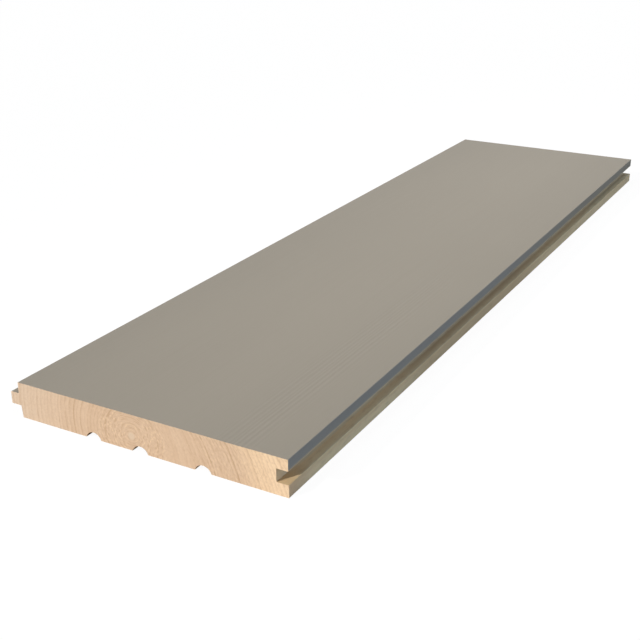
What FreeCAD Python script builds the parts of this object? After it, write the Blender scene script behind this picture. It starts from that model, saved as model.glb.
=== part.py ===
"""Pine floorboard, 20 x 162 mm, in one short length, with the profile run along it.

One machined piece: tongue along one long side, groove along the other, and three round
relief grooves in the underside. The section is drawn across the board and extruded
along it.

Frame, in millimetres: X across the board, with the tongue at -X and the groove at +X.
Y runs along the board and Z points up, with the face up. The origin lies on the floor,
under the middle of the board's overall box.
"""
import FreeCAD, Part
import math
import os

# Board, as sold: cover width is measured on the face, so it leaves out the tongue
board_length = 615.0
cover_width = 162.0
board_thickness = 20.0

# Tongue, and the shoulder under it that is cut back so that the faces close first
tongue_drop = 6.3
tongue_thickness = 6.9
tongue_reach = 5.4
tongue_nose_radius = 0.4
lower_shoulder_setback = 0.8
lower_shoulder_lean = 0.7

# Groove, a little wider and deeper than the tongue, between two lips
groove_drop = 6.2
groove_height = 7.1
groove_depth = 6.3
groove_mouth_radius = 0.2
lower_lip_overhang = 0.4

# Relief grooves in the underside, placed from the face edge on the tongue side
relief_places = (48.5, 77.7, 115.0)
relief_radius = 5.0
relief_depth = 3.5

# Eased long edges
face_edge_radius = 0.15
back_edge_radius = 0.15

# Worked out from the sizes above
tongue_tip = -tongue_reach
lower_lip_face = cover_width + lower_lip_overhang
middle_x = (lower_lip_face + tongue_tip) / 2
relief_half_chord = math.sqrt(relief_radius ** 2 - (relief_radius - relief_depth) ** 2)

face = board_thickness
tongue_top = face - tongue_drop
tongue_bottom = tongue_top - tongue_thickness
groove_top = face - groove_drop
groove_bottom = groove_top - groove_height


def corner_list():
    """The section's corners, each with the radius that eases it, clockwise from the face."""
    corners = [
        (0.0, face, face_edge_radius),
        (cover_width, face, face_edge_radius),
        (cover_width, groove_top, groove_mouth_radius),
        (cover_width - groove_depth, groove_top, 0),
        (cover_width - groove_depth, groove_bottom, 0),
        (lower_lip_face, groove_bottom, groove_mouth_radius),
        (lower_lip_face, 0.0, back_edge_radius),
    ]
    for place in reversed(relief_places):
        corners.append((place + relief_half_chord, 0.0, 0))
        corners.append((place - relief_half_chord, 0.0, 0))
    corners += [
        (lower_shoulder_setback + lower_shoulder_lean, 0.0, back_edge_radius),
        (lower_shoulder_setback, tongue_bottom, 0),
        (tongue_tip, tongue_bottom, tongue_nose_radius),
        (tongue_tip, tongue_top, tongue_nose_radius),
        (0.0, tongue_top, 0),
    ]
    return corners


def eased_corner(before, corner, after, radius):
    """Start, middle and end of the arc that rounds a corner."""
    back = (before - corner).normalize()
    ahead = (after - corner).normalize()
    half_angle = back.getAngle(ahead) / 2
    run = radius / math.tan(half_angle)
    bisector = (back + ahead).normalize()
    centre = corner + bisector * (radius / math.sin(half_angle))
    return corner + back * run, centre - bisector * radius, corner + ahead * run


def is_relief_mouth(start, end):
    """True for the gap that a relief groove leaves in the underside."""
    on_underside = start.z == 0 and end.z == 0
    return on_underside and math.isclose(start.x - end.x, 2 * relief_half_chord)


def section_wire(y):
    """The board's closed section, as lines and arcs, in the plane at y."""
    corners = corner_list()
    points = [FreeCAD.Vector(x - middle_x, y, z) for x, z, radius in corners]
    radii = [radius for x, z, radius in corners]
    count = len(points)
    arcs = []
    for i in range(count):
        if radii[i]:
            arcs.append(eased_corner(points[i - 1], points[i], points[(i + 1) % count], radii[i]))
        else:
            arcs.append((points[i], None, points[i]))

    edges = []
    for i in range(count):
        start, middle, end = arcs[i]
        if middle:
            edges.append(Part.Arc(start, middle, end).toShape())
        next_start = arcs[(i + 1) % count][0]
        if is_relief_mouth(end, next_start):
            roof = FreeCAD.Vector((end.x + next_start.x) / 2, y, relief_depth)
            edges.append(Part.Arc(end, roof, next_start).toShape())
        else:
            edges.append(Part.LineSegment(end, next_start).toShape())
    return Part.Wire(edges)


def floorboard():
    """The section extruded from the near sawn end to the far one."""
    near_end = Part.Face(section_wire(-board_length / 2))
    return near_end.extrude(FreeCAD.Vector(0, board_length, 0))


os.makedirs("parts", exist_ok=True)
shape = floorboard()
shape.exportStep("parts/floorboard.step")
box = shape.BoundBox
print("valid", shape.isValid(), "solids", len(shape.Solids), "volume", round(shape.Volume))
print("box", box.XLength, box.YLength, box.ZLength, "lowest", box.XMin, box.YMin, box.ZMin)
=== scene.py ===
"""Looks of the pine floorboard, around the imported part, in metres and in the part's frame.

X runs across the board, with the tongue at -X and the groove at +X. Y runs along it, Z up.
The board is one piece. A Geometry Nodes tree sweeps its section along it, closes it with two
sawn ends and raises the grain. One growth ring formula serves that relief and the colour of
the wood, so a ring on an end runs on into the sides and shows through the paint.
"""
import math
import random
from collections import namedtuple

import bmesh
import bpy
import numpy as np
from mathutils import Euler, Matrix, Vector
from mathutils.geometry import delaunay_2d_cdt


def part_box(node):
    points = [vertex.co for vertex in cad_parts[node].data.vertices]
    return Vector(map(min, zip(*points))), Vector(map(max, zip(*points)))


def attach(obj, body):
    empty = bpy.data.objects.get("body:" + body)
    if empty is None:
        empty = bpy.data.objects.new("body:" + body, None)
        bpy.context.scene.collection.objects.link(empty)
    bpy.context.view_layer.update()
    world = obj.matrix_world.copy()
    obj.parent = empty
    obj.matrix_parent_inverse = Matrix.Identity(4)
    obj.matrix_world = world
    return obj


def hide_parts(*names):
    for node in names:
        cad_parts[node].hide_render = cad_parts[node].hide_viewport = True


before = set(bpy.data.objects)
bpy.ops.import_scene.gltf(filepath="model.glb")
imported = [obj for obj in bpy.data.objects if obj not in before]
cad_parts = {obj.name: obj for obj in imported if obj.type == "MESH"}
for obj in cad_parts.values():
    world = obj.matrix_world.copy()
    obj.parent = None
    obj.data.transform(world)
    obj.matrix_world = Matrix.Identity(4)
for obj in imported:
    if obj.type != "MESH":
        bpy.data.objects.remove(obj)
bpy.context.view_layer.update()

MM = 0.001
BOARD = "floorboard"
low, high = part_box(BOARD)

# Profile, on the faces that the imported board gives
tongue_drop = 6.3 * MM
tongue_thickness = 6.9 * MM
tongue_reach = 5.4 * MM
tongue_nose_radius = 0.4 * MM
lower_shoulder_setback = 0.8 * MM
lower_shoulder_lean = 0.7 * MM
groove_drop = 6.2 * MM
groove_height = 7.1 * MM
groove_depth = 6.3 * MM
groove_mouth_radius = 0.2 * MM
lower_lip_overhang = 0.4 * MM
relief_places = (48.5 * MM, 77.7 * MM, 115.0 * MM)
relief_radius = 5.0 * MM
relief_depth = 3.5 * MM
face_edge_radius = 0.15 * MM
back_edge_radius = 0.15 * MM

# Places worked out from the board's box
board_length = high.y - low.y
face_left = low.x + tongue_reach
face_right = high.x - lower_lip_overhang
tongue_top = high.z - tongue_drop
tongue_bottom = tongue_top - tongue_thickness
groove_top = high.z - groove_drop
groove_bottom = groove_top - groove_height

# How finely the mesh follows the section and the board's length
face_spacing = 0.45 * MM
plain_spacing = 1.6 * MM
fillet_steps = 3
relief_steps = 14
length_rows = 136
weld_distance = 0.001 * MM

# An edge that turns by more degrees than this stays crisp
sharp_angle = 40

# Points inside the sawn ends: their spacing, and as shares of it, how far each strays and how
# far it keeps from the outline
end_spacing = 0.85 * MM
end_stray = 0.18
end_clearance = 0.4
end_seed = 4

# Growth rings, in millimetres. The pith runs along the board, inside it, and wanders a little
pith_across = -5.5
pith_height = 8.5
pith_sway = 3.0
pith_sway_length = 260.0
pith_rise = 2.0
pith_rise_length = 190.0
ring_width = 2.35
ring_lean = 0.38
ring_lean_places = (4.0, 40.0)
broad_waver = 1.5
fine_waver = 0.22
slow_crowding_width = 16.0
quick_crowding_width = 5.0
quick_crowding = 0.4

# One ring, as shares of a year's growth: where its latewood and its ridge set in and are full,
# then where they start to fade and are gone. A ring's strength is its own, and patchy along it
latewood_band = (0.3, 0.86, 0.9, 1.0)
ridge_band = (0.2, 0.7, 0.7, 1.0)
faintest_ring = 0.25
ring_spread = 0.85
patch_level = 0.75
patch_spread = 0.35

# Kinds of wood, and of torn grain on the ends, by distance from the pith in millimetres: where
# each sets in and is full and, where it ends again, where it starts to fade and is gone
sapwood = (59.5, 77.5)
pale_wood = (20.0, 90.0)
young_wood = (18.0, 8.0)
calm_wood = (6.0, 12.0, 38.0, 46.0)
dense_wood = (38.0, 46.0, 60.0, 68.0)
torn_by_pith = (26.0, 14.0)
torn_by_groove = (38.0, 48.0)
pith_spot = (2.6, 1.4)

# Contrast of the rings on bare wood, and what takes from it or adds to it
ring_contrast = 0.75
young_loss = 0.4
calm_loss = 0.45
dense_gain = 0.45
worn_loss = 0.5

# How far fibres, blotches and the rings' own tones turn bare wood to the latewood's colour
fibre_share = 0.25
blotch_share = 0.1
ring_tone_share = 0.16
toning_less = 0.06

# How far scuffs and the pith take on their own colours
scuff_share = 0.4
pith_share = 0.7

# Flecks that the saw leaves on the ends: their size, outwards from the pith in millimetres, along
# the board and up it, and how strong they are all over, and more by the pith and by the groove
fleck_width = 0.9
fleck_length = 30 * MM
fleck_height = 1.8 * MM
torn_least = 0.1
torn_more_by_pith = 0.32
torn_more_by_groove = 0.16

# Browner wood on the groove's side: round one place along the board, and a little all the way
# from a place nearer the end
brown_middle = 240 * MM
brown_reach = 150 * MM
brown_core = 0.45 * brown_reach
brown_share = 0.75
brown_beyond = (80 * MM, 170 * MM)
brown_beyond_share = 0.2
brown_from = 30 * MM

# Painted shade inside the groove and painted light at its mouth, by how far in from the mouth and how far
# from the near end, and how deep in the wood around the groove they are gone and full
mouth_light_reach = 4.5 * MM
groove_back = (4.2 * MM, 5.4 * MM)
groove_shade_deepens = (90 * MM, 180 * MM)
groove_far_shade = (450 * MM, 520 * MM)
groove_back_margin = (0.5 * MM, 0.3 * MM)
groove_wall_margin = (0.15 * MM, 0.05 * MM)

# How much that painted shade and light cover the wood: all over, and more at the mouth, at the back and
# far along
groove_shade_cover = 0.5
mouth_light_cover = 0.3
back_shade_cover = 0.3
far_shade_cover = 0.4

# The long sides' tone by the near end reaches this far
by_end_reach = 26 * MM

# The coat's ragged lower edges. On the tongue it ends just below its top. Over the groove it
# thins to its least share on the way down, over less height far along, and ends at its top
coat_raggedness = 0.12 * MM
coat_rag_length = 4 * MM
coat_on_tongue = (0.2 * MM, 0.05 * MM)
coat_thinning = 1.4 * MM
coat_thinning_less = 0.4 * MM
coat_thins_less = (380 * MM, 560 * MM)
coat_least = 0.4
coat_end = 0.1 * MM

# The coat's faint clouds and brush marks, as shares of its colour, and where along the board the joint
# edge over the groove turns warmer, as painted light where its cool reflection fades
cloud_depth = 0.015
brush_mark_shade = 0.9
brush_mark_share = 0.12
coat_light_warms = (240 * MM, 480 * MM)

# Relief in the mesh, how near a surface a point counts as off it and on it, and the margins by
# the edges within which the relief fades
face_relief = 0.2 * MM
end_relief = 0.05 * MM
surface_margin = (0.02 * MM, 0.01 * MM)
face_relief_margin = (0.6 * MM, 2.5 * MM)
end_relief_margin = 1.5 * MM

# Grain that shows through the coat: a little all over, and most in a streak near the groove
streak_inset = 29 * MM
streak_sides = (15 * MM, 4 * MM)
streak_ends = (420 * MM, 100 * MM)
streak_strength = 0.8
faint_patch_width = 20 * MM
faint_patch_length = 130 * MM
faint_patch_strength = 0.12
least_strength = 0.08

# Finer relief, in the material only: heights and sizes in millimetres
brush_mark_height = 0.012
peel_height = 0.003
latewood_height = 0.03
fibre_height = 0.02
knife_mark_height = 0.006
knife_mark_pitch = 2.2
knife_mark_waver_width = 40

# Sheen
coat_roughness = 0.55
brush_mark_roughness = 0.04
wood_roughness = 0.78
latewood_smoothness = 0.08
specular_level = 0.35

# Colours, as sRGB shares of 255
PAINT = (150, 142, 129)
# A warmer coat colour, painted light where the cool reflection on the groove side's joint edge fades
# further along
PAINT_IN_WARMER_LIGHT = (146, 135, 117)
END_EARLYWOOD = (225, 195, 166)
END_LATEWOOD = (188, 151, 115)
SIDE_EARLYWOOD = (254, 221, 169)
SIDE_LATEWOOD = (226, 187, 134)
BROWN_WOOD = (212, 176, 131)
# Painted shade inside the groove, deeper further along, with painted light at its mouth and cool painted
# shade on its back wall
GROOVE_PAINTED_SHADE = (222, 204, 174)
GROOVE_DEEPER_SHADE = (186, 170, 142)
GROOVE_MOUTH_LIGHT = (246, 230, 194)
GROOVE_BACK_SHADE = (224, 213, 190)
SIDE_BY_END = (226, 187, 142)
GROOVE_BY_END = (219, 189, 144)
SCUFF = (200, 166, 124)
SAPWOOD = (251, 220, 184)
PALE_WOOD = (234, 210, 186)
PITH = (226, 203, 178)
FLECK = (252, 224, 186)
FLOOR = (155, 155, 155)

# Lights, with angles in degrees. A sun's softness is how wide it stands in the sky
WHITE = (1.0, 1.0, 1.0, 1.0)
key_turn = 29
key_height = 26.5
key_softness = 3
key_power = 3.0
key_tint = (1.0, 0.975, 0.93)
fill_aim = (-1.0, -0.2, -0.1)
fill_softness = 40
fill_power = 1.1
fill_tint = (0.78, 1.11, 1.64)
strip_width = 0.06
strip_length = 1.0
strip_place = Vector((0.006, -0.02, high.z + 0.22))
strip_power = 0.56
strip_tint = (1.0, 1.0, 0.99)
surround_level = 0.13
surround_tint = (0.84, 0.92, 1.0, 1.0)
floor_reach = 6.0
floor_glow = 1.2
floor_glow_share = 0.8

# The photograph's camera, placed from the near corner of the face on the groove side
camera_from_corner = Vector((213.97, -356.15, 243.31)) * MM
camera_pitch = 22.887
camera_turn = 29.017
camera_lens = 59.96
camera_sensor = 36.0

# A Mix node's colour sockets, which share their names with its other sockets
MIX_A = 6
MIX_B = 7
MIX_RESULT = 2

# The growth rings at a place: its share of latewood, how high its ring stands when planed and
# its ring's own tone, from 0 to 1, then how far it is from the pith, all round and across the
# board, in millimetres
Rings = namedtuple("Rings", "late ridge tone radius across")


class Value:
    """A socket of a node tree, on which Python's operators add Math nodes."""

    def __init__(self, graph, socket):
        self.graph = graph
        self.socket = socket

    def __add__(self, other):
        return self.graph.math("ADD", self, other)

    def __sub__(self, other):
        return self.graph.math("SUBTRACT", self, other)

    def __mul__(self, other):
        return self.graph.math("MULTIPLY", self, other)

    def __truediv__(self, other):
        return self.graph.math("DIVIDE", self, other)

    def __pow__(self, other):
        return self.graph.math("POWER", self, other)

    def __rsub__(self, other):
        return self.graph.math("SUBTRACT", other, self)

    __radd__ = __add__
    __rmul__ = __mul__


class Graph:
    """Builds one node tree, for a material or for Geometry Nodes."""

    def __init__(self, tree):
        self.tree = tree

    def feed(self, socket, value):
        """Links a Value to a socket, or sets the socket to a plain value."""
        if isinstance(value, Value):
            self.tree.links.new(value.socket, socket)
        else:
            socket.default_value = value

    def node(self, kind, settings=None, sockets=None, output=0):
        """Adds a node, sets it up, feeds its sockets and returns one of its outputs."""
        made = self.tree.nodes.new(kind)
        for name, setting in (settings or {}).items():
            setattr(made, name, setting)
        for name, value in (sockets or {}).items():
            self.feed(made.inputs[name], value)
        return Value(self, made.outputs[output]) if made.outputs else None

    def math(self, operation, a, b=0.0):
        return self.node("ShaderNodeMath", {"operation": operation}, {0: a, 1: b})

    def vector(self, x, y, z):
        return self.node("ShaderNodeCombineXYZ", {}, {0: x, 1: y, 2: z})

    def parts(self, vector):
        """The X, Y and Z of a vector."""
        first = self.node("ShaderNodeSeparateXYZ", {}, {0: vector})
        return [Value(self, socket) for socket in first.socket.node.outputs]

    def stretched(self, vector, sizes):
        """A place divided by a pattern's size along each axis."""
        shares = tuple(1 / size for size in sizes)
        return self.node("ShaderNodeVectorMath", {"operation": "MULTIPLY"}, {0: vector, 1: shares})

    def noise(self, vector, detail=2.0):
        """Smooth noise from about -1 to 1, one unit of the vector to a blotch."""
        sockets = {"Vector": vector, "Scale": 1.0, "Detail": detail}
        return self.node("ShaderNodeTexNoise", {}, sockets) * 2.0 - 1.0

    def line_noise(self, value, size, row=0.0):
        """Noise along a line, by the size of its blotches. Each row of it runs differently."""
        return self.noise(self.vector(value / size, row, 0.0))

    def streaks(self, place, across, along, up=None, detail=2.0):
        """Noise drawn out along the board, by the size of its blotches in millimetres. They are
        as high as they are wide across the board, unless up says otherwise."""
        sizes = (across * MM, along * MM, (up or across) * MM)
        return self.noise(self.stretched(place, sizes), detail)

    def step(self, value, start, end):
        """0 before start, 1 past end, and a smooth rise between. End may be the lower one."""
        sockets = {"Value": value, "From Min": start, "From Max": end}
        return self.node("ShaderNodeMapRange", {"interpolation_type": "SMOOTHSTEP"}, sockets)

    def band(self, value, start, full, fading, gone):
        """1 from full to fading, 0 before start and past gone, and smooth between."""
        return self.step(value, start, full) * self.step(value, gone, fading)

    def mix(self, share, a, b):
        """Colour a where share is 0, and b where it is 1."""
        sockets = {0: share, MIX_A: a, MIX_B: b}
        return self.node("ShaderNodeMix", {"data_type": "RGBA"}, sockets, output=MIX_RESULT)


def colour(rgb):
    """A colour written as sRGB out of 255, in the linear values that shaders use."""
    shares = [part / 255 for part in rgb]
    linear = [s / 12.92 if s <= 0.04045 else ((s + 0.055) / 1.055) ** 2.4 for s in shares]
    return (*linear, 1.0)


def shaded(rgb, level):
    """A colour made lighter or darker by a share."""
    return colour([part * level for part in rgb])


def growth_rings(g, place):
    """The Rings at a place, from one count of years outwards from the pith."""
    x, y, z = g.parts(g.stretched(place, (MM, MM, MM)))
    across = x - pith_across + g.line_noise(y, pith_sway_length, row=3.1) * pith_sway
    height = z - pith_height + g.line_noise(y, pith_rise_length, row=7.7) * pith_rise
    leaned = across + height * g.step(across, *ring_lean_places) * ring_lean
    radius = (leaned * leaned + height * height) ** 0.5
    broad = g.streaks(place, across=24, along=420) * broad_waver
    fine = g.streaks(place, across=3, along=120) * fine_waver
    count = (radius + broad + fine) / ring_width
    count = count + g.line_noise(radius, slow_crowding_width, row=1.7)
    count = count + g.line_noise(radius, quick_crowding_width, row=4.1) * quick_crowding
    share = g.math("FRACT", count)
    year = g.math("FLOOR", count)
    weight = g.node("ShaderNodeTexWhiteNoise", {"noise_dimensions": "1D"}, {"W": year})
    tone = g.node("ShaderNodeTexWhiteNoise", {"noise_dimensions": "1D"}, {"W": year + 0.5})
    patchy = g.streaks(place, across=9, along=150) * patch_spread + patch_level
    strength = weight * weight * ring_spread + faintest_ring
    late = g.band(share, *latewood_band) * patchy * strength
    ridge = g.band(share, *ridge_band) * patchy
    return Rings(late, ridge, tone, radius, across)


def eased(before, corner, after, radius):
    """Points of the arc that rounds a corner of the section."""
    if not radius:
        return [corner]
    back = (before - corner).normalized()
    ahead = (after - corner).normalized()
    half_angle = back.angle(ahead) / 2
    bisector = (back + ahead).normalized()
    centre = corner + bisector * (radius / math.sin(half_angle))
    start = corner + back * (radius / math.tan(half_angle)) - centre
    end = corner + ahead * (radius / math.tan(half_angle)) - centre
    points = []
    for i in range(fillet_steps + 1):
        between = start.lerp(end, i / fillet_steps)
        points.append(centre + between.normalized() * radius)
    return points


def relief_arc(place):
    """Points of a relief groove's round roof, from its groove side foot to its tongue side foot."""
    sink = relief_radius - relief_depth
    foot_angle = math.asin(sink / relief_radius)
    points = []
    for i in range(relief_steps + 1):
        angle = foot_angle + (math.pi - 2 * foot_angle) * i / relief_steps
        x = face_left + place + relief_radius * math.cos(angle)
        points.append(Vector((x, relief_radius * math.sin(angle) - sink)))
    return points


def section_outline():
    """The section's points, from the tongue's lower corner up, over the face and back underneath."""
    rounded = [
        (low.x, tongue_bottom, tongue_nose_radius),
        (low.x, tongue_top, tongue_nose_radius),
        (face_left, tongue_top, 0),
        (face_left, high.z, face_edge_radius),
        (face_right, high.z, face_edge_radius),
        (face_right, groove_top, groove_mouth_radius),
        (face_right - groove_depth, groove_top, 0),
        (face_right - groove_depth, groove_bottom, 0),
        (high.x, groove_bottom, groove_mouth_radius),
        (high.x, 0.0, back_edge_radius),
        (face_left + lower_shoulder_setback + lower_shoulder_lean, 0.0, back_edge_radius),
        (face_left + lower_shoulder_setback, tongue_bottom, 0),
    ]
    corners = [Vector((x, z)) for x, z, _ in rounded]
    points = []
    for i, (x, z, radius) in enumerate(rounded):
        points += eased(corners[i - 1], corners[i], corners[(i + 1) % len(corners)], radius)
        if (x, z) == (high.x, 0.0):
            for place in reversed(relief_places):
                points += relief_arc(place)
    return divided(points)


def divided(points):
    """The closed outline with points added along its straight runs, closest on the face."""
    result = []
    for i, start in enumerate(points):
        end = points[(i + 1) % len(points)]
        on_face = start.y == high.z and end.y == high.z
        spacing = face_spacing if on_face else plain_spacing
        steps = max(1, math.ceil((end - start).length / spacing))
        result += [start.lerp(end, step / steps) for step in range(steps)]
    return result


def points_inside(outline):
    """Points spread over the section in a slightly uneven grid, clear of its outline."""
    chance = random.Random(end_seed)
    xs = np.arange(low.x, high.x, end_spacing)
    zs = np.arange(0, high.z, end_spacing)
    stray = end_stray * end_spacing
    tried = []
    for x in xs:
        for z in zs:
            tried.append((x + chance.uniform(-stray, stray), z + chance.uniform(-stray, stray)))
    spots = np.array(tried)[:, None, :]
    starts = np.array(outline)[None, :, :]
    ends = np.roll(starts, -1, axis=1)
    run = ends - starts
    share = ((spots - starts) * run).sum(2) / (run ** 2).sum(2)
    nearest = starts + run * np.clip(share, 0, 1)[:, :, None]
    distance = np.sqrt(((spots - nearest) ** 2).sum(2)).min(1)
    clear = distance > end_clearance * end_spacing
    straddles = (starts[:, :, 1] > spots[:, :, 1]) != (ends[:, :, 1] > spots[:, :, 1])
    rise = np.where(run[:, :, 1] == 0, 1, run[:, :, 1])
    crossing = starts[:, :, 0] + run[:, :, 0] * (spots[:, :, 1] - starts[:, :, 1]) / rise
    inside = (straddles & (spots[:, :, 0] < crossing)).sum(1) % 2 == 1
    return [Vector(spot) for spot, kept in zip(tried, clear & inside) if kept]


def sawn_end_mesh(outline):
    """The near end as a flat mesh of small triangles, and the section's girth. Each point of the
    outline carries its own way round."""
    spots = outline + points_inside(outline)
    rim = list(range(len(outline)))
    inside_rim = 1
    same_place = 1e-9
    points, _, triangles, *_ = delaunay_2d_cdt(spots, [], [rim], inside_rim, same_place)
    mesh = bpy.data.meshes.new("sawn_end")
    mesh.from_pydata([(p.x, low.y, p.y) for p in points], [], triangles)
    girth = mesh.attributes.new("girth", "FLOAT", "POINT")
    way = 0.0
    for i, point in enumerate(outline):
        girth.data[i].value = way
        way += (outline[(i + 1) % len(outline)] - point).length
    return mesh, way


def board_tree():
    """Sweeps the sawn end's outline along the board, closes both ends and raises the grain."""
    tree = bpy.data.node_groups.new("swept_board", "GeometryNodeTree")
    g = Graph(tree)
    sockets = {
        "Near end": "NodeSocketGeometry",
        "Length": "NodeSocketFloat",
        "Rows": "NodeSocketInt",
        "Face relief": "NodeSocketFloat",
        "End relief": "NodeSocketFloat",
        "Finish": "NodeSocketMaterial",
    }
    for name, kind in sockets.items():
        tree.interface.new_socket(name=name, in_out="INPUT", socket_type=kind)
    tree.interface.new_socket(name="Board", in_out="OUTPUT", socket_type="NodeSocketGeometry")
    entry = tree.nodes.new("NodeGroupInput")
    given = {name: Value(g, entry.outputs[name]) for name in sockets}

    # The swept sides, from the near end's rim: its edges with only one face beside them
    near_end = given["Near end"]
    neighbours = g.node("GeometryNodeInputMeshEdgeNeighbors")
    is_rim = g.math("COMPARE", neighbours, 1.0)
    rim = g.node("GeometryNodeMeshToCurve", {}, {"Mesh": near_end, "Selection": is_rim})
    upright = {"Geometry": rim, "Translation": (0.0, 0.0, -low.y), "Rotation": (math.pi / 2, 0.0, 0.0)}
    profile = g.node("GeometryNodeTransform", {}, upright)
    far_y = given["Length"] + low.y
    line_ends = {"Start": (0.0, low.y, 0.0), "End": g.vector(0.0, far_y, 0.0)}
    line = g.node("GeometryNodeCurvePrimitiveLine", {}, line_ends)
    path = g.node("GeometryNodeResampleCurve", {"mode": "COUNT"}, {"Curve": line, "Count": given["Rows"]})
    sides = g.node("GeometryNodeCurveToMesh", {}, {"Curve": path, "Profile Curve": profile})

    # The far end is the near one, moved along and turned to face out
    moved = {"Geometry": near_end, "Translation": g.vector(0.0, given["Length"], 0.0)}
    far_end = g.node("GeometryNodeFlipFaces", {}, {"Mesh": g.node("GeometryNodeTransform", {}, moved)})
    joined = g.node("GeometryNodeJoinGeometry")
    for part in (far_end, sides, near_end):
        tree.links.new(part.socket, joined.socket.node.inputs[0])
    board = g.node("GeometryNodeMergeByDistance", {}, {"Geometry": joined, "Distance": weld_distance})

    # Grain: the softer wood between the rings' dark edges sinks a little
    place = g.node("GeometryNodeInputPosition")
    x, y, z = g.parts(place)
    rings = growth_rings(g, place)
    off, on = surface_margin
    from_edge = g.math("MINIMUM", x - face_left, face_right - x)
    on_face = g.step(z, high.z - off, high.z - on) * g.step(from_edge, *face_relief_margin)
    drop = (1.0 - rings.ridge) * on_face * face_strength(g, x, y) * given["Face relief"]
    middle_z = high.z / 2
    off_middle = g.math("ABSOLUTE", z - middle_z)
    in_section = g.step(off_middle, middle_z, middle_z - end_relief_margin)
    at_near = g.step(y, low.y + off, low.y + on)
    at_far = g.step(y, far_y - off, far_y - on)
    inwards = (at_near - at_far) * in_section * (1.0 - rings.late) * given["End relief"]
    offset = g.vector(0.0, inwards, 0.0 - drop)
    raised = g.node("GeometryNodeSetPosition", {}, {"Geometry": board, "Offset": offset})
    whole = g.node("GeometryNodeRealizeInstances", {}, {"Geometry": raised})
    dressed = g.node("GeometryNodeSetMaterial", {}, {"Geometry": whole, "Material": given["Finish"]})
    leave = tree.nodes.new("NodeGroupOutput")
    tree.links.new(dressed.socket, leave.inputs["Board"])
    return tree


def face_strength(g, x, y):
    """How strongly the grain shows through the coat."""
    off_streak = g.math("ABSOLUTE", x - (face_right - streak_inset))
    gone, full = streak_ends
    streak = g.step(off_streak, *streak_sides) * g.step(y, low.y + gone, low.y + full)
    patches = g.noise(g.vector(x / faint_patch_width, y / faint_patch_length, 0.0))
    patches = g.step(patches, start=-0.2, end=0.9)
    return streak * streak_strength + patches * faint_patch_strength + least_strength


def board_mesh(finish):
    """The whole board as a plain mesh, from the tree's result."""
    near_end, girth = sawn_end_mesh(section_outline())
    carrier = bpy.data.objects.new("near_end", near_end)
    bpy.context.scene.collection.objects.link(carrier)
    tree = board_tree()
    modifier = carrier.modifiers.new("swept_board", "NODES")
    modifier.node_group = tree
    sizes = {
        "Length": board_length,
        "Rows": length_rows,
        "Face relief": face_relief,
        "End relief": end_relief,
        "Finish": finish,
    }
    for item in tree.interface.items_tree:
        if item.name in sizes:
            modifier[item.identifier] = sizes[item.name]
    evaluated = carrier.evaluated_get(bpy.context.evaluated_depsgraph_get())
    mesh = bpy.data.meshes.new_from_object(evaluated)
    carrier.modifiers.remove(modifier)
    bpy.data.objects.remove(carrier)
    return mesh, girth


def finish_mesh(mesh, girth):
    """Turns every face outwards, keeps the profile's edges sharp and unrolls the board flat."""
    shape = bmesh.new()
    shape.from_mesh(mesh)
    bmesh.ops.recalc_face_normals(shape, faces=shape.faces)
    shape.to_mesh(mesh)
    shape.free()
    mesh.polygons.foreach_set("use_smooth", [True] * len(mesh.polygons))
    mesh.set_sharp_from_angle(angle=math.radians(sharp_angle))
    unroll(mesh, girth)


def unroll(mesh, girth):
    """A UV map with the sides as one sheet, the board's length across it, and the two ends above."""
    sheet_height = 0.86
    end_width = 0.47
    end_height = 0.1
    margin = 0.01
    way_round = [item.value for item in mesh.attributes["girth"].data]
    uv_map = mesh.uv_layers.new(name="OFBake")
    for face in mesh.polygons:
        corners = [mesh.vertices[i].co for i in face.vertices]
        if abs(face.normal.y) > 0.5:
            shift = margin if face.normal.y < 0 else 2 * margin + end_width
            for loop, corner in zip(face.loop_indices, corners):
                u = shift + end_width * (corner.x - low.x) / (high.x - low.x)
                v = sheet_height + 2 * margin + end_height * corner.z / high.z
                uv_map.data[loop].uv = (u, v)
            continue
        ways = [way_round[i] for i in face.vertices]
        if max(ways) - min(ways) > girth / 2:
            ways = [way if way > girth / 2 else girth for way in ways]
        for loop, corner, way in zip(face.loop_indices, corners, ways):
            u = margin + (1 - 2 * margin) * (corner.y - low.y) / board_length
            uv_map.data[loop].uv = (u, margin + (sheet_height - margin) * way / girth)


def new_material(name):
    """An empty node material, with its tree's builder."""
    material = bpy.data.materials.new(name)
    material.use_nodes = True
    material.node_tree.nodes.clear()
    return material, Graph(material.node_tree)


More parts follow.
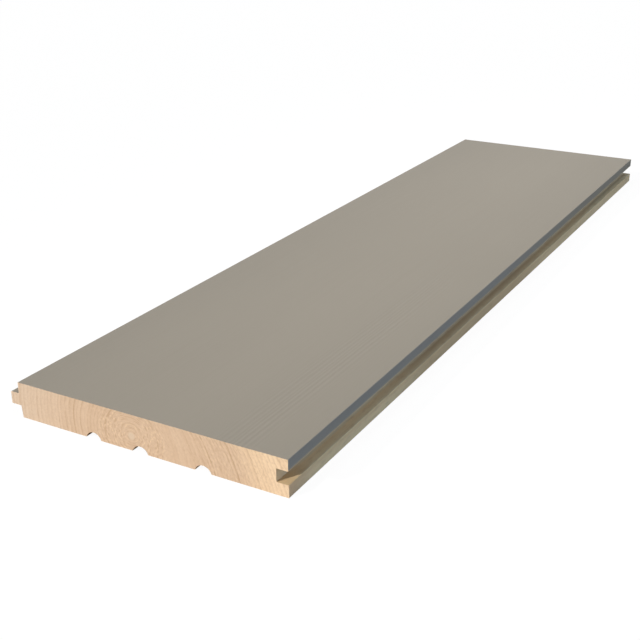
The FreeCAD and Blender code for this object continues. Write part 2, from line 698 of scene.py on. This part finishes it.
def painted_pine():
    """Bare pine all round, with a satin coat on the face and the joint edges beside it."""
    material, g = new_material("painted_pine")
    place = g.node("ShaderNodeTexCoord", output="Object")
    nx, ny, nz = g.parts(g.node("ShaderNodeTexCoord", output="Normal"))
    x, y, z = g.parts(place)
    along = y - low.y
    on_end = g.step(g.math("ABSOLUTE", ny), start=0.4, end=0.6)
    off_end = 1.0 - on_end
    painted = paint_cover(g, x, y, z, nz) * off_end
    rings = growth_rings(g, place)
    brushed = g.streaks(place, across=0.8, along=160, detail=3.0)
    wood = wood_colour(g, place, rings, on_end)
    wood = side_colour(g, place, wood, off_end)
    coat = coat_colour(g, place, along, nx, brushed)

    fibres = g.streaks(place, across=0.45, along=26, detail=3.0)
    peel = g.streaks(place, across=1.4, along=3.0)
    coat_height = brushed * brush_mark_height + peel * peel_height
    bare_height = rings.late * latewood_height + fibres * fibre_height + knife_marks(g, x, y, nz)
    height = coat_height * painted + bare_height * (1.0 - painted)
    coat_sheen = coat_roughness + brushed * brush_mark_roughness
    bare_sheen = wood_roughness - rings.late * latewood_smoothness
    bump_sockets = {"Height": height * MM, "Distance": 1.0, "Strength": 1.0}
    surface = {
        "Base Color": g.mix(painted, wood, coat),
        "Roughness": painted * coat_sheen + (1.0 - painted) * bare_sheen,
        "Specular IOR Level": specular_level,
        "Normal": g.node("ShaderNodeBump", {}, bump_sockets),
    }
    shader = g.node("ShaderNodeBsdfPrincipled", {}, surface)
    g.node("ShaderNodeOutputMaterial", {}, {"Surface": shader})
    return material


def paint_cover(g, x, y, z, nz):
    """1 where the coat lies: on the face, its two joint edges and the tongue's top. It thins out
    just above the groove, over less height towards the far end, and reaches under no overhang."""
    edge = z + g.line_noise(y, coat_rag_length) * coat_raggedness
    none, full = coat_on_tongue
    over_tongue = g.step(edge, tongue_top - none, tongue_top - full)
    thinning = coat_thinning - g.step(y - low.y, *coat_thins_less) * coat_thinning_less
    over_groove = g.step(edge, groove_top, thinning + groove_top) * (1.0 - coat_least) + coat_least
    over_groove = over_groove * g.step(z, groove_top - coat_end, groove_top)
    groove_side = g.step(x, 0.0, MM)
    above = over_tongue * (1.0 - groove_side) + over_groove * groove_side
    return above * g.step(nz, start=-0.35, end=-0.1)


def coat_colour(g, place, along, nx, brushed):
    """Warm grey paint, faintly clouded and brushed along the board. On the joint edge over the groove it
    turns warmer away from the near end, as painted light where the cool reflection on that edge fades."""
    clouds = g.streaks(place, across=60, along=260) * 0.5 + 0.5
    coat = g.mix(clouds, shaded(PAINT, 1 - cloud_depth), shaded(PAINT, 1 + cloud_depth))
    marks = g.step(brushed, start=-0.1, end=1.0) * brush_mark_share
    coat = g.mix(marks, coat, shaded(PAINT, brush_mark_shade))
    # Painted light: the cool reflection on the joint edge over the groove fades further along
    warmer_light = g.step(along, *coat_light_warms) * g.step(nx, start=0.5, end=0.9)
    return g.mix(warmer_light, coat, colour(PAINT_IN_WARMER_LIGHT))


def wood_colour(g, place, rings, on_end):
    """Bare pine: growth rings, darker fibres and broad blotches, with torn flecks and the pith on
    the sawn ends."""
    x, y, z = g.parts(place)
    groove_side = g.step(rings.across, start=-20.0, end=20.0)
    side = side_earlywood(g, x, y - low.y)
    early = g.mix(on_end, side, end_earlywood(g, rings, groove_side))
    dark = g.mix(on_end, colour(SIDE_LATEWOOD), colour(END_LATEWOOD))
    wood = g.mix(rings.late * latewood_contrast(g, place, rings, groove_side, on_end), early, dark)
    fibres = g.streaks(place, across=1.0, along=40, detail=3.0)
    wood = g.mix(g.step(fibres, start=-0.5, end=0.9) * fibre_share, wood, dark)
    blotch = g.step(g.streaks(place, across=14, along=150), start=-0.4, end=0.9) * blotch_share
    wood = g.mix(blotch + rings.tone * on_end * ring_tone_share - toning_less, wood, dark)

    # Flecks follow the rings, light where fibres are torn up and dark where they are torn out
    fleck_place = g.vector(rings.radius / fleck_width, y / fleck_length, z / fleck_height)
    flecks = g.noise(fleck_place, detail=1.0)
    by_pith = g.step(rings.radius, *torn_by_pith) * torn_more_by_pith
    by_groove = groove_side * g.step(rings.radius, *torn_by_groove) * torn_more_by_groove
    torn = (torn_least + by_pith + by_groove) * on_end
    wood = g.mix(g.step(flecks, start=0.05, end=0.45) * torn, wood, colour(FLECK))
    wood = g.mix(g.step(flecks, start=-0.05, end=-0.45) * torn, wood, dark)
    return g.mix(g.step(rings.radius, *pith_spot) * on_end * pith_share, wood, colour(PITH))


def end_earlywood(g, rings, groove_side):
    """Earlywood on the sawn ends, paler outwards and lightest in the sapwood by the groove."""
    pale = g.step(rings.radius, *pale_wood) * (1.0 - groove_side)
    sap = g.step(rings.radius, *sapwood) * groove_side
    heartwood = g.mix(pale, colour(END_EARLYWOOD), colour(PALE_WOOD))
    return g.mix(sap, heartwood, colour(SAPWOOD))


def side_earlywood(g, x, along):
    """Earlywood away from the ends, with the browner stretch on the groove's side."""
    off_middle = g.math("ABSOLUTE", along - brown_middle)
    brown = g.step(off_middle, brown_reach, brown_core) * brown_share
    brown = g.math("MAXIMUM", brown, g.step(along, *brown_beyond) * brown_beyond_share)
    brown = brown * g.step(x, brown_from, face_right)
    return g.mix(brown, colour(SIDE_EARLYWOOD), colour(BROWN_WOOD))


def latewood_contrast(g, place, rings, groove_side, on_end):
    """How dark latewood is: less in the young wood by the pith, least in the calm rings and most
    in the dense ones on the groove's side, and worn in patches on the sawn ends."""
    young = g.step(rings.radius, *young_wood) * young_loss
    calm = g.band(rings.radius, *calm_wood) * calm_loss
    dense = g.band(rings.radius, *dense_wood) * dense_gain
    contrast = ring_contrast - young + groove_side * (dense - calm)
    worn = g.step(g.streaks(place, across=2.4, along=40, up=3.2), start=-0.3, end=0.4)
    return contrast * (1.0 - worn * on_end * worn_loss)


def side_colour(g, place, wood, off_end):
    """The wood with what the long sides add: painted shade and light inside the groove, a darker tone by
    the near end and scuffs."""
    x, y, z = g.parts(place)
    along = y - low.y
    inside = in_groove(g, x, z) * off_end
    tone, cover = groove_painted_shade(g, x, along)
    # Painted shade and light inside the groove, over the wood's own colour
    wood = g.mix(inside * cover, wood, tone)
    by_end = g.mix(inside, colour(SIDE_BY_END), colour(GROOVE_BY_END))
    wood = g.mix(g.step(along, by_end_reach, 0.0) * off_end, wood, by_end)
    scuffs = g.streaks(place, across=2.2, along=8, detail=3.0)
    return g.mix(g.step(scuffs, start=-0.1, end=0.6) * off_end * scuff_share, wood, colour(SCUFF))


def groove_painted_shade(g, x, along):
    """Painted shade inside the groove and how much it covers the wood: painted light at the mouth, deeper
    painted shade away from the near end, cool painted shade at the back, and strongest on the floor by
    the far end."""
    inset = face_right - x
    mouth_light = g.step(inset, mouth_light_reach, 0.0)
    back_shade = g.step(inset, *groove_back)
    far = g.step(along, *groove_far_shade) * (1.0 - back_shade)
    tone = g.mix(g.step(along, *groove_shade_deepens), colour(GROOVE_PAINTED_SHADE), colour(GROOVE_DEEPER_SHADE))
    tone = g.mix(mouth_light, tone, colour(GROOVE_MOUTH_LIGHT))
    tone = g.mix(back_shade, tone, colour(GROOVE_BACK_SHADE))
    return tone, mouth_light * mouth_light_cover + back_shade * back_shade_cover + far * far_shade_cover + groove_shade_cover


def in_groove(g, x, z):
    """1 on the groove's walls, floor and back, fading just inside the wood around it."""
    back = face_right - groove_depth
    gone, full = groove_back_margin
    before_back = g.step(x, back - gone, back - full)
    middle = (groove_top + groove_bottom) / 2
    reach = groove_height / 2
    gone, full = groove_wall_margin
    return before_back * g.step(g.math("ABSOLUTE", z - middle), reach + gone, reach + full)


def knife_marks(g, x, y, nz):
    """The shallow scallops that planer knives leave across the underside."""
    waver = g.line_noise(x, knife_mark_waver_width * MM)
    wave = g.math("SINE", y * (2 * math.pi / (knife_mark_pitch * MM)) + waver)
    return wave * knife_mark_height * g.step(nz, start=-0.6, end=-0.9)


def lamp(name, kind, aim, power, tint, **settings):
    """A lamp that shines along aim."""
    data = bpy.data.lights.new(name, kind)
    data.energy = power
    data.color = tint
    for key, value in settings.items():
        setattr(data, key, value)
    made = bpy.data.objects.new(name, data)
    made.rotation_euler = Vector(aim).to_track_quat("-Z", "Y").to_euler()
    bpy.context.scene.collection.objects.link(made)
    return made


def light_the_scene():
    """A low soft key from the front and the tongue side, a long strip over the board, a weak cool
    fill and an even surround."""
    turn = math.radians(key_turn)
    height = math.radians(key_height)
    key_aim = (
        math.sin(turn) * math.cos(height),
        math.cos(turn) * math.cos(height),
        -math.sin(height),
    )
    lamp("key", "SUN", key_aim, key_power, key_tint, angle=math.radians(key_softness))
    strip_size = {"shape": "RECTANGLE", "size": strip_width, "size_y": strip_length}
    strip = lamp("strip", "AREA", (0.0, 0.0, -1.0), strip_power, strip_tint, **strip_size)
    strip.location = strip_place
    strip.visible_camera = False
    strip.visible_glossy = False
    lamp("cool_fill", "SUN", fill_aim, fill_power, fill_tint, angle=math.radians(fill_softness))
    bpy.context.scene.world = white_surround()


def white_surround():
    """A world that lights evenly and weakly, and is white to the camera and in reflections."""
    world = bpy.data.worlds.new("studio")
    world.use_nodes = True
    world.node_tree.nodes.clear()
    g = Graph(world.node_tree)
    seen = g.node("ShaderNodeLightPath", output="Is Camera Ray")
    mirrored = g.node("ShaderNodeLightPath", output="Is Glossy Ray")
    surround = g.node("ShaderNodeBackground", {}, {"Color": surround_tint, "Strength": surround_level})
    white = g.node("ShaderNodeBackground", {}, {"Color": WHITE, "Strength": 1.0})
    share = g.math("MAXIMUM", seen, mirrored)
    both = g.node("ShaderNodeMixShader", {}, {0: share, 1: surround, 2: white})
    g.node("ShaderNodeOutputWorld", {}, {"Surface": both})
    return world


def pale_floor():
    """A large floor, white to the camera, that keeps a faint shadow of the board."""
    far = floor_reach
    mesh = bpy.data.meshes.new("floor")
    corners = [(-far, -far, 0.0), (far, -far, 0.0), (far, far, 0.0), (-far, far, 0.0)]
    mesh.from_pydata(corners, [], [(0, 1, 2, 3)])
    floor = bpy.data.objects.new("floor", mesh)
    bpy.context.scene.collection.objects.link(floor)
    material, g = new_material("pale_floor")
    seen = g.node("ShaderNodeLightPath", output="Is Camera Ray")
    plain = g.node("ShaderNodeBsdfDiffuse", {}, {"Color": colour(FLOOR)})
    glow = g.node("ShaderNodeEmission", {}, {"Color": WHITE, "Strength": floor_glow})
    share = seen * floor_glow_share
    both = g.node("ShaderNodeMixShader", {}, {0: share, 1: plain, 2: glow})
    g.node("ShaderNodeOutputMaterial", {}, {"Surface": both})
    mesh.materials.append(material)


def place_camera():
    """The photograph's view of the near end, the face and the groove side."""
    data = bpy.data.cameras.new("camera")
    data.sensor_width = camera_sensor
    data.lens = camera_lens
    camera = bpy.data.objects.new("camera", data)
    corner = Vector((face_right, low.y, high.z))
    camera.location = corner + camera_from_corner
    camera.rotation_euler = Euler((math.radians(90 - camera_pitch), 0.0, math.radians(camera_turn)))
    bpy.context.scene.collection.objects.link(camera)
    bpy.context.scene.camera = camera


def main():
    place_camera()
    light_the_scene()
    pale_floor()
    mesh, girth = board_mesh(painted_pine())
    finish_mesh(mesh, girth)
    board = bpy.data.objects.new("pine_board", mesh)
    bpy.context.scene.collection.objects.link(board)
    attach(board, "root")
    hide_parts(BOARD)
    bpy.context.scene.view_settings.view_transform = "Standard"


main()
